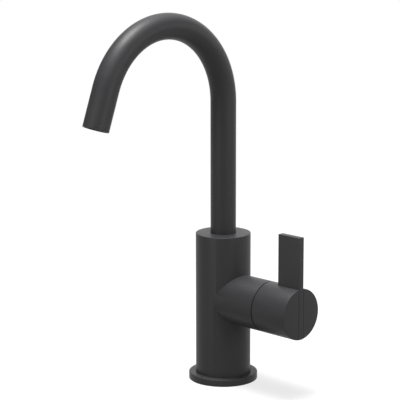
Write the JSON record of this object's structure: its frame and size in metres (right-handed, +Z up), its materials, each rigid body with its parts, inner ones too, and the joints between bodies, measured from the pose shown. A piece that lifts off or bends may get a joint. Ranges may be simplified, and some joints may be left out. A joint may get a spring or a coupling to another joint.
{
  "type": "basin mixer tap",
  "caption": "Single-lever basin mixer tap with a round column, a gooseneck spout that swivels and a side handle that turns for temperature and tilts for flow.",
  "frame": {"origin": "middle of the base, on the surface that the tap stands on, on the column's axis", "axes": "+Z up along the column; the spout reaches over -Y at rest; the side housing and the handle point along +X"},
  "size_m": [0.1212, 0.1862, 0.3259],
  "materials": {
    "black_finish": "matte",
    "cast_brass": "satin",
    "stainless": "satin",
    "seal_rubber": "matte",
    "bearing_nylon": "satin",
    "cartridge_plastic": "satin",
    "disc_ceramic": "polished",
    "black_plastic": "matte"
  },
  "bodies": {
    "tap_body": {"body_shell": "black_finish", "waterway_core": "cast_brass", "base_ring": "black_finish", "base_seal": "seal_rubber", "cartridge_base": "cartridge_plastic", "cartridge_seals": "seal_rubber", "fixed_disc": "disc_ceramic", "cartridge_body": "cartridge_plastic", "retaining_nut": "cast_brass", "dome_cover": "black_finish", "spout_stop_screw": "stainless", "spout_thrust_washer": "bearing_nylon"},
    "spout": {"spout_tube": "black_finish", "spout_spigot": "cast_brass", "spout_o_rings": "seal_rubber", "spout_slip_ring": "bearing_nylon", "outlet_bush": "black_finish", "aerator_washer": "seal_rubber", "aerator_screen": "stainless", "aerator_insert": "cartridge_plastic", "aerator_housing": "black_plastic"},
    "rotor": {"cartridge_rotor": "bearing_nylon", "rotor_o_ring": "seal_rubber", "pivot_pin": "stainless"},
    "disc_slide": {"moving_disc": "disc_ceramic", "disc_carrier": "cartridge_plastic"},
    "handle": {"cartridge_stem": "cast_brass", "handle_barrel": "black_finish", "lever_blade": "black_finish", "handle_grub_screw": "stainless", "screw_plug": "black_plastic"}
  },
  "joints": [
    {"name": "spout_swivel", "type": "hinge", "parent": "tap_body", "child": "spout", "pos_m": [0, 0, 0.11], "axis": [0, 0, 1], "range_deg": [-60, 60]},
    {"name": "temperature_turn", "type": "hinge", "parent": "tap_body", "child": "rotor", "pos_m": [0.043, 0, 0.0743], "axis": [1, 0, 0], "range_deg": [-50, 50]},
    {"name": "flow_tilt", "type": "hinge", "parent": "rotor", "child": "handle", "pos_m": [0.043, 0, 0.0743], "axis": [0, 1, 0], "range_deg": [0, 20]},
    {"name": "disc_travel", "type": "slide", "parent": "rotor", "child": "disc_slide", "axis": [0, 0, 1], "range_m": [0, 0.00428]}
  ],
  "couplings": [
    {"joint": "disc_travel", "follows": "flow_tilt", "m_per_rad": 0.01225}
  ]
}
